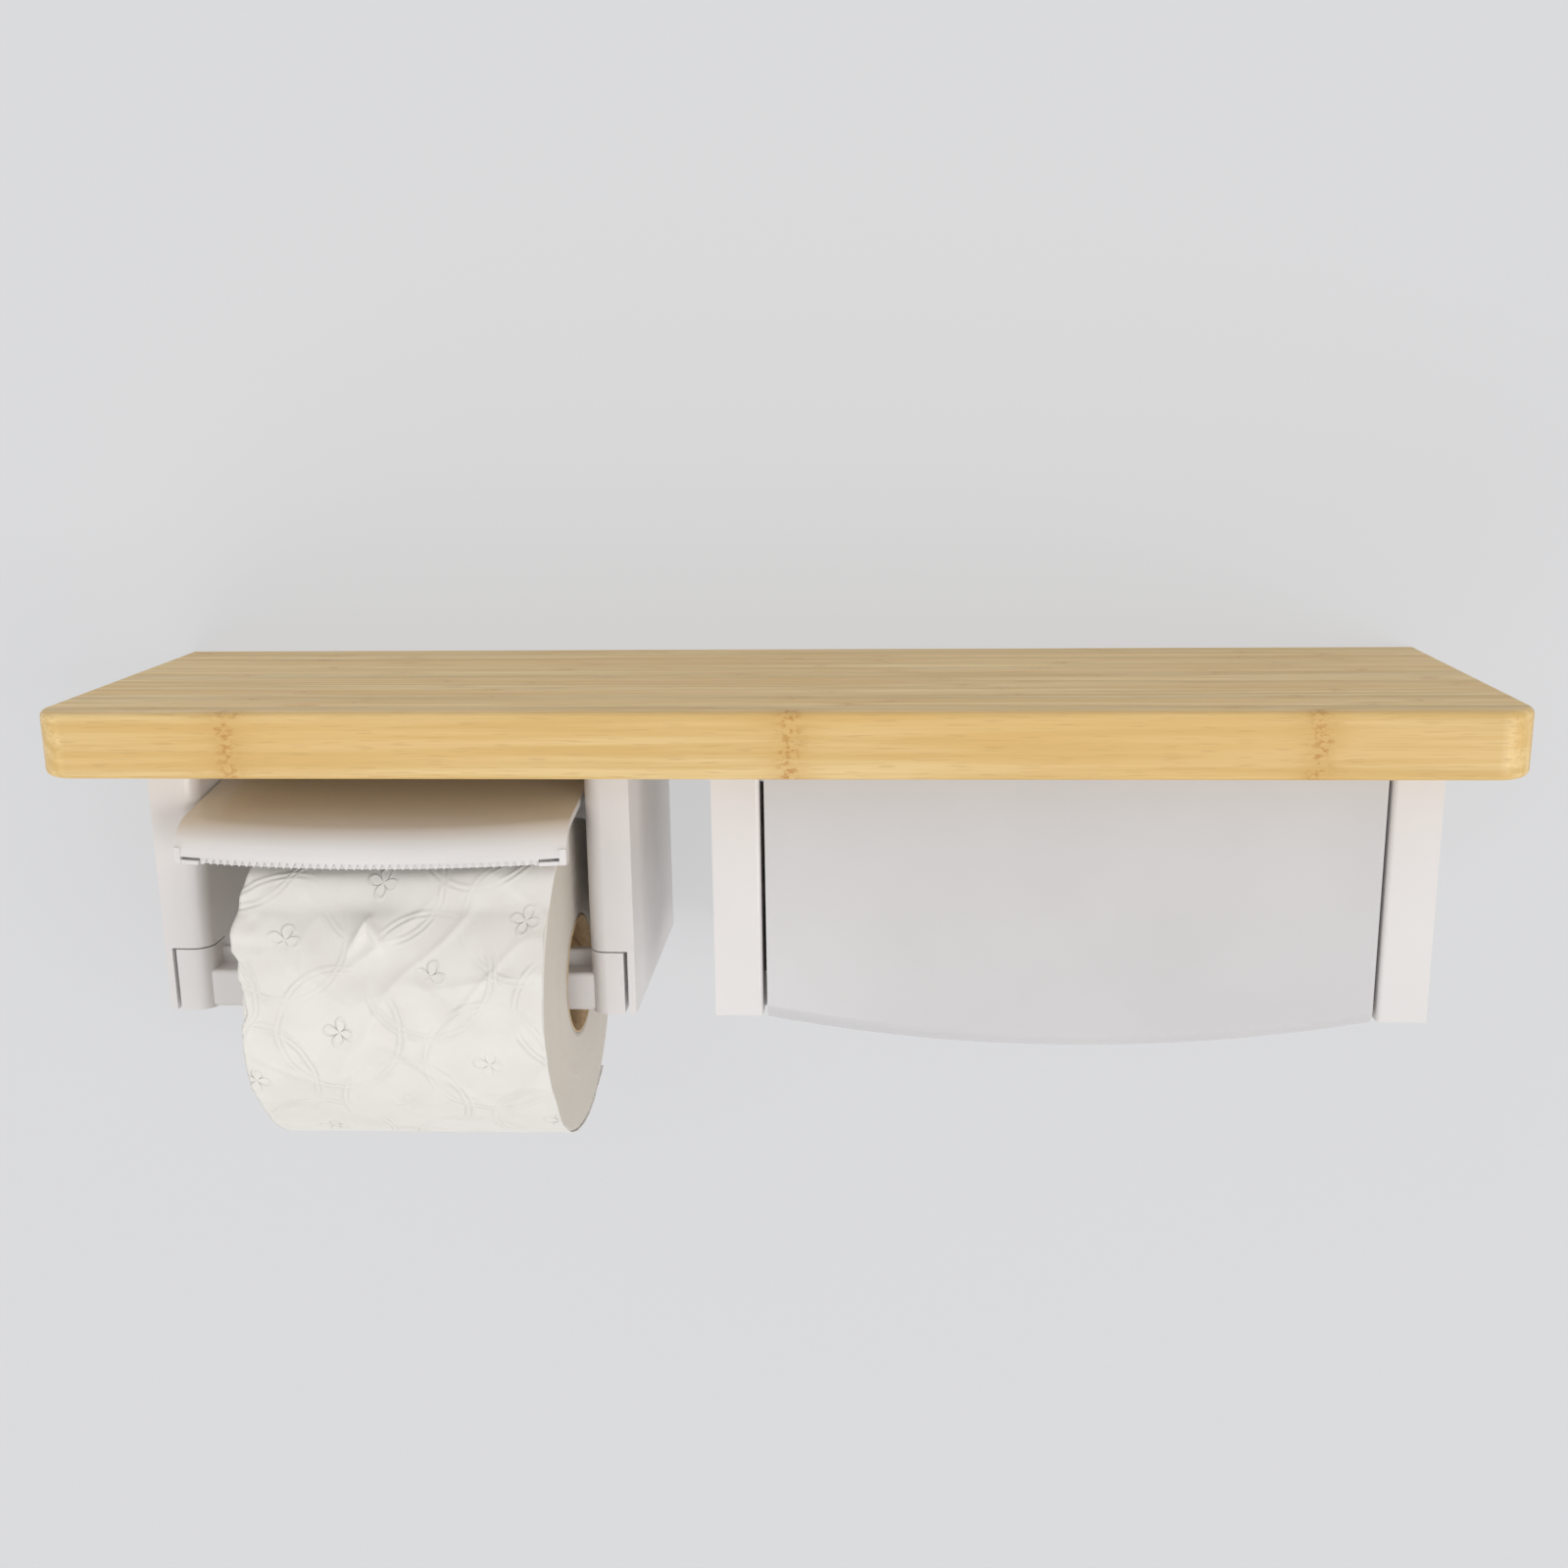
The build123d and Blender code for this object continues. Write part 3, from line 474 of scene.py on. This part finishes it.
# A grid of points (rows, columns, 3) as a mesh; wrapping joins its last row or column to its first
def gridMesh(name, points, wrapRows=False, wrapColumns=False, flip=False):
    rows, columns = points.shape[:2]
    index = np.arange(rows * columns).reshape(rows, columns)
    if wrapRows:
        index = np.concatenate([index, index[:1]], 0)
    if wrapColumns:
        index = np.concatenate([index, index[:, :1]], 1)
    quads = np.stack([index[:-1, :-1], index[1:, :-1], index[1:, 1:], index[:-1, 1:]], -1).reshape(-1, 4)
    if flip:
        quads = quads[:, ::-1]
    mesh = bpy.data.meshes.new(name)
    mesh.vertices.add(rows * columns)
    mesh.vertices.foreach_set("co", points.reshape(-1).astype(np.float32))
    mesh.loops.add(quads.size)
    mesh.loops.foreach_set("vertex_index", quads.reshape(-1).astype(np.int32))
    mesh.polygons.add(len(quads))
    mesh.polygons.foreach_set("loop_start", np.arange(0, quads.size, 4, dtype=np.int32))
    mesh.update(calc_edges=True)
    mesh.polygons.foreach_set("use_smooth", np.ones(len(quads), dtype=bool))
    mesh.validate()
    piece = bpy.data.objects.new(name, mesh)
    bpy.context.scene.collection.objects.link(piece)
    return piece


def setAttribute(piece, name, values):
    field = piece.data.attributes.new(name, "FLOAT", "POINT")
    field.data.foreach_set("value", values.reshape(-1).astype(np.float32))


# Place on the paper laid flat, in metres
def setFlat(piece, x, along):
    field = piece.data.attributes.new("flat", "FLOAT_VECTOR", "POINT")
    flat = np.stack([x, along + 0 * x, 0 * x], -1)
    field.data.foreach_set("vector", flat.reshape(-1).astype(np.float32))


# The roll is wound a little askew: its ends lean forwards to one side, and its axis tips
lean = {"sideways": 0.029, "tip": 0.010}


# A place on a circle about the roll's axis, with x along it, then sheared by the lean
def wound(x, r, angle):
    y, z = r * np.cos(angle), r * np.sin(angle)
    return np.stack([
        rollMiddle.x + x + lean["sideways"] * y,
        rollMiddle.y + y,
        rollMiddle.z + z + lean["tip"] * x], -1)


# A full turn in equal steps, as a column, and a section repeated for each of them
def fullTurn(sectionX, sectionR, steps):
    angle = np.linspace(0, 2 * np.pi, steps, endpoint=False)[:, None]
    x = np.broadcast_to(sectionX, (steps, len(sectionX))).copy()
    r = np.broadcast_to(sectionR, x.shape).copy()
    return angle, x, r


# Noise round the axis; its seam lies at angle 0, where the roll faces the wall
def noiseRound(value, size, angle, cells, seed):
    return valueNoise(value / size, angle / (2 * np.pi) * cells + 0 * value, seed)


# Wound paper: a closed ring whose section runs up one end, along the outside, down the other end and
# back through the bore; angle 0 points into the wall and 90 degrees up
roll = {
    "turnSteps": 300, "alongSteps": 84, "endSteps": 16, "edge": 0.0009, "under": 0.0006,
    "seat": 0.00004, "softTall": 0.0003, "layerOut": 0.00045, "layerSeat": 0.003,
}


def makeRoll(v):
    outer, bore = rollRadius - v["under"], coreRadius + v["seat"]
    climb = np.linspace(bore, outer - v["edge"], v["endSteps"])
    corner = np.radians(np.linspace(0, 90, 5)[1:-1])
    flat = np.linspace(-rollHalf + v["edge"], rollHalf - v["edge"], v["alongSteps"])
    sectionX = np.concatenate([
        np.full_like(climb, -rollHalf), -rollHalf + v["edge"] * (1 - np.cos(corner)), flat,
        rollHalf - v["edge"] * (1 - np.sin(corner)), np.full_like(climb, rollHalf)])
    sectionR = np.concatenate([
        climb, outer - v["edge"] * (1 - np.sin(corner)), np.full_like(flat, outer),
        outer - v["edge"] * (1 - np.cos(corner)), climb[::-1]])
    angle, x, r = fullTurn(sectionX, sectionR, v["turnSteps"])
    onEnd = (np.abs(x) > rollHalf - 1e-6).astype(float)
    onOutside = (r > outer - 1e-6).astype(float)
    soft = noiseRound(x, 0.016, angle, 40, 5) - 0.5
    r += onOutside * v["softTall"] * soft
    # The plies stand a little in and out at both ends
    layers = noiseRound(r, 0.0016, angle, 6, 9) - 0.5
    x += np.sign(x) * onEnd * v["layerOut"] * layers * eased(r, bore, bore + v["layerSeat"])
    piece = gridMesh("paperRoll", wound(x, r, angle), wrapRows=True, wrapColumns=True, flip=True)
    setAttribute(piece, "ends", np.maximum(onEnd, (r < outer - v["edge"]).astype(float)))
    setFlat(piece, x, angle * outer)
    return piece


# Cardboard tube: a ring section with soft rims, a little out of round
tube = {"wall": 0.0006, "turnSteps": 160, "alongSteps": 24, "dent": 0.00014, "rimOut": 0.0003}


def makeTube(v):
    flat = np.linspace(-rollHalf, rollHalf, v["alongSteps"])
    sectionX = np.concatenate([flat, flat[::-1]])
    inside = coreRadius - v["wall"]
    sectionR = np.concatenate([np.full_like(flat, coreRadius), np.full_like(flat, inside)])
    angle, x, r = fullTurn(sectionX, sectionR, v["turnSteps"])
    r -= v["dent"] * noiseRound(x, 0.03, angle, 8, 17)
    atRim = np.abs(x) > rollHalf - 1e-6
    rim = valueNoise(angle / (2 * np.pi) * 16 + 0 * x, 0 * x, 19)
    x += np.sign(x) * atRim * v["rimOut"] * rim
    return gridMesh("cardboardTube", wound(x, r, angle), wrapRows=True, wrapColumns=True, flip=True)


# Loose outer ply: a strip round the roll from under the cover over the front to below the back. Its
# height over the roll is a tuck at the start, a lift up to the tear blade, soft creases, one pinched
# fold and a lifted end
sheet = {
    "from": 84.0, "to": 302.0, "turnSteps": 300, "alongSteps": 140, "lift": 0.00035, "thick": 0.00022,
    "bladeAt": 127.0, "bladeLift": 0.0046, "creaseTall": 0.0011, "tailLift": 0.0022,
    "sunk": 0.0005, "pinchAt": (-0.1290, 144.0), "pinchTall": 0.0034, "pinchWide": 0.0052,
    # Creases: the random seed, the direction across the fold and its size in metres
    "creases": [(31, 0.75, 0.65, 0.017), (32, -0.6, 0.8, 0.013), (33, 0.2, 1.0, 0.022)],
    # How far each edge stands out past the roll's end, in millimetres at an angle in degrees
    "leftEdge": [(100, 0), (118, 1.0), (127, 1.9), (135, 3.3), (141, 3.4), (145, 4.0), (153, 3.8),
                 (156, 1.4), (162, 0.9), (168, -0.9), (174, -2.2), (178, 0), (187, 0.3), (201, 0.6),
                 (210, 0), (302, 0)],
    "rightEdge": [(100, 0), (118, 1.0), (127, 1.4), (136, 0.4), (145, -0.6), (160, -0.3), (175, 0),
                  (187, 0.3), (200, 0.8), (210, 1.2), (222, 0.8), (240, 0.3), (302, 0)],
}


def makeSheet(v):
    column = np.linspace(-1, 1, v["alongSteps"])[None, :]
    row = np.linspace(0, 1, v["turnSteps"])[:, None]
    degrees = v["from"] + (v["to"] - v["from"]) * row + 0 * column
    # The free end is torn along its perforation
    teeth = 0.35 * np.abs(((column * rollHalf / 0.0032) % 1) - 0.5) * 2
    teeth = teeth + 0.5 * valueNoise(column * 9, row * 0, 4)
    degrees = degrees + eased(row, 0.985, 1.0) * teeth
    x = column * rollHalf + 0 * row
    angle = np.radians(degrees)
    along = angle * rollRadius
    tuck = eased(degrees, v["from"], v["from"] + 9)
    fromBlade = 1 - eased(degrees, v["bladeAt"], v["bladeAt"] + 13)
    toBlade = eased(degrees, 98, v["bladeAt"] - 4) * fromBlade
    height = v["lift"] * tuck - v["sunk"] * (1 - tuck) + v["bladeLift"] * toBlade
    # Creases run slantwise and are sharpest where the paper has slid on the front
    zone = eased(degrees, 128, 143) * (1 - eased(degrees, 192, 222))
    bend = 0.004 * valueNoise(x / 0.02, along / 0.02, 21)
    for seed, turnU, turnV, size in v["creases"]:
        over = (x * turnU + along * turnV + bend) / size
        down = (x * turnV - along * turnU) / (3 * size)
        fold = valueNoise(over, down, seed)
        ridge = np.maximum(0, 1 - 7 * np.abs(fold - 0.5)) ** 1.5
        height = height + v["creaseTall"] * 0.5 * ridge * (0.25 + 0.75 * zone) * tuck
    height = height + 0.0008 * zone * valueNoise(x / 0.014, along / 0.012, 41)
    # Pinched fold: two ridges that run down and apart from one peak, with a hollow between them
    pinchX, pinchA = v["pinchAt"]
    du = (x + rollMiddle.x - pinchX) / v["pinchWide"]
    dv = np.radians(degrees - pinchA) * rollRadius / v["pinchWide"]
    spread = np.exp(-((np.abs(du) - 0.62 * np.clip(dv, 0, 3)) / 0.34) ** 2)
    fade = np.exp(-(np.where(dv < 0, dv / 0.45, dv / 1.25)) ** 2)
    height = height + v["pinchTall"] * spread * fade
    height = height + 0.0012 * np.exp(-(du / 2.6) ** 2 - ((dv - 0.6) / 1.6) ** 2)
    # Both edges stand in and out, and the left one curls up where it stands out the most
    outward = []
    for side in ("leftEdge", "rightEdge"):
        at, reach = np.array(v[side]).T
        outward.append(0.001 * np.interp(degrees, at, reach))
    leftward, rightward = np.maximum(-column, 0) ** 5, np.maximum(column, 0) ** 5
    x = x - outward[0] * leftward + outward[1] * rightward
    curl = 0.4 + valueNoise(x / 0.004, along / 0.004, 51)
    height = height + 0.45 * np.maximum(outward[0], 0) * leftward * curl
    x = x + 0.0004 * np.abs(column) ** 8 * (valueNoise(column * 0, along / 0.006, 61) - 0.3)
    tail = eased(row, 0.93, 1.0)
    least = 0.00012 * tuck - v["sunk"] * (1 - tuck)
    height = np.maximum(height, least) + v["tailLift"] * tail ** 2
    r = rollRadius - roll["under"] + height
    piece = gridMesh("looseSheet", wound(x, r, angle), flip=True)
    setAttribute(piece, "ends", np.zeros(x.shape))
    setFlat(piece, column * rollHalf + 0 * row, along)
    wall = piece.modifiers.new("ply", "SOLIDIFY")
    wall.thickness = v["thick"]
    wall.offset = 1.0
    length = math.radians(v["to"] - v["from"]) * rollRadius
    return piece, length


paperRoll = makeRoll(roll)
paperRoll.data.materials.append(materials["tissue"])
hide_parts("paper_roll")
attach(paperRoll, "roll")

cardboardTube = makeTube(tube)
cardboardTube.data.materials.append(materials["cardboard"])
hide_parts("cardboard_core")
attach(cardboardTube, "roll")

looseSheet, sheetLength = makeSheet(sheet)
looseSheet.data.materials.append(materials["tissue"])
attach(looseSheet, "roll")
print("paper roll ready")


# 1 where the background is looked at, straight or by way of metal or glass, and 0 where it gives light
def seenRays(tree):
    rays = put(tree, "LightPath").outputs
    mirrored = calc(tree, "MAXIMUM", rays["Is Glossy Ray"], rays["Is Transmission Ray"])
    return calc(tree, "MAXIMUM", rays["Is Camera Ray"], mirrored)


# Plain wall behind the object, and a floor below it; both vanish when seen from behind
stage = {
    "wallColour": (0.700, 0.703, 0.715, 1), "floorColour": (0.72, 0.72, 0.72, 1),
    "wallAt": 0.0004, "half": 3.0, "floorAt": -0.9, "top": 2.2, "floorFront": -3.2, "plain": 0.75,
}


def makeStage(name, corners, colour, plainShare):
    mesh = bpy.data.meshes.new(name)
    mesh.from_pydata(corners, [], [(0, 1, 2, 3)])
    piece = bpy.data.objects.new(name, mesh)
    bpy.context.scene.collection.objects.link(piece)
    material = bpy.data.materials.new(name)
    material.use_nodes = True
    tree = material.node_tree
    tree.nodes.clear()
    matt = put(tree, "BsdfDiffuse", [colour])
    # Part of what the camera sees is the plain colour, so that shadows stay soft
    plain = put(tree, "Emission", [colour, 1.0])
    share = times(tree, seenRays(tree), plainShare)
    lit = put(tree, "MixShader", [share, matt.outputs[0], plain.outputs[0]])
    clear = put(tree, "BsdfTransparent")
    behind = put(tree, "NewGeometry").outputs["Backfacing"]
    both = put(tree, "MixShader", [behind, lit.outputs[0], clear.outputs[0]])
    put(tree, "OutputMaterial", [both.outputs[0]])
    mesh.materials.append(material)
    return piece


def makeWall(v):
    half, at, bottom, top = v["half"], v["wallAt"], v["floorAt"], v["top"]
    corners = [(-half, at, bottom), (half, at, bottom), (half, at, top), (-half, at, top)]
    wall = makeStage("wallBehind", corners, v["wallColour"], v["plain"])
    wall.visible_shadow = False
    wall.visible_diffuse = False


def makeFloor(v):
    half, at, front, back = v["half"], v["floorAt"], v["floorFront"], v["wallAt"]
    corners = [(-half, front, at), (half, front, at), (half, back, at), (-half, back, at)]
    floor = makeStage("floorBelow", corners, v["floorColour"], v["plain"])
    floor.visible_shadow = False


makeWall(stage)
makeFloor(stage)

lampTarget = (0.0, -0.06, -0.01)
lamps = {
    "key": {"at": (-0.75, -1.3, 0.75), "size": (1.5, 1.1), "watts": 3.0},
    "low": {"at": (-0.65, -1.25, -0.95), "size": (1.6, 0.8), "watts": 9.0},
    "side": {"at": (3.2, -3.6, -0.5), "size": (2.6, 2.2), "watts": 92.0},
}


def makeLamp(name, v):
    light = bpy.data.lights.new(name, "AREA")
    light.shape = "RECTANGLE"
    light.size, light.size_y = v["size"]
    light.energy = v["watts"]
    lamp = bpy.data.objects.new(name, light)
    lamp.location = v["at"]
    lamp.rotation_mode = "QUATERNION"
    lamp.rotation_quaternion = (Vector(lampTarget) - lamp.location).to_track_quat("-Z", "Y")
    bpy.context.scene.collection.objects.link(lamp)


for lampName, values in lamps.items():
    makeLamp(lampName, values)

# The room is palest below, as over a pale floor, and a little darker at eye level
room = {"below": 1.05, "level": 0.44, "overhead": 0.66, "seen": 0.85}


def makeRoom(v):
    world = bpy.data.worlds.new("paleRoom")
    world.use_nodes = True
    tree = world.node_tree
    tree.nodes.clear()
    seen = seenRays(tree)
    slant = put(tree, "SeparateXYZ", [put(tree, "TexCoord").outputs["Generated"]]).outputs[2]
    lower = remap(tree, slant, -0.6, 0.0, v["below"], v["level"])
    upper = remap(tree, slant, 0.0, 0.7, 0.0, v["overhead"] - v["level"])
    given = times(tree, minus(tree, 1.0, seen), plus(tree, lower, upper))
    strength = plus(tree, times(tree, seen, v["seen"]), given)
    air = put(tree, "Background", [(1, 1, 1, 1), strength])
    put(tree, "OutputWorld", [air.outputs[0]])
    bpy.context.scene.world = world


makeRoom(room)

# Camera, from the photograph's perspective: focal length in pixels of the 1600 pixel frame
viewpoint = {
    "at": (0.04085, -0.6358, 0.14633), "focal": 1678.0, "frame": 1600.0,
    "yaw": 0.068, "pitch": 0.2348, "roll": -0.0143, "sensor": 36.0, "nearest": 0.01,
}


def makeCamera(v):
    data = bpy.data.cameras.new("camera")
    data.sensor_width = v["sensor"]
    data.lens = v["focal"] / v["frame"] * v["sensor"]
    data.clip_start = v["nearest"]
    camera = bpy.data.objects.new("camera", data)
    level = math.cos(v["pitch"])
    ahead = Vector((-math.sin(v["yaw"]) * level, math.cos(v["yaw"]) * level, -math.sin(v["pitch"])))
    right = ahead.cross(Vector((0, 0, 1))).normalized()
    above = right.cross(ahead)
    rightTurned = right * math.cos(v["roll"]) + above * math.sin(v["roll"])
    aboveTurned = above * math.cos(v["roll"]) - right * math.sin(v["roll"])
    facing = Matrix((rightTurned, aboveTurned, -ahead)).transposed().to_4x4()
    camera.matrix_world = Matrix.Translation(v["at"]) @ facing
    bpy.context.scene.collection.objects.link(camera)
    bpy.context.scene.camera = camera


makeCamera(viewpoint)
bpy.context.scene.view_settings.view_transform = "Standard"
print("stage, lamps and camera ready")

bpy.context.view_layer.update()
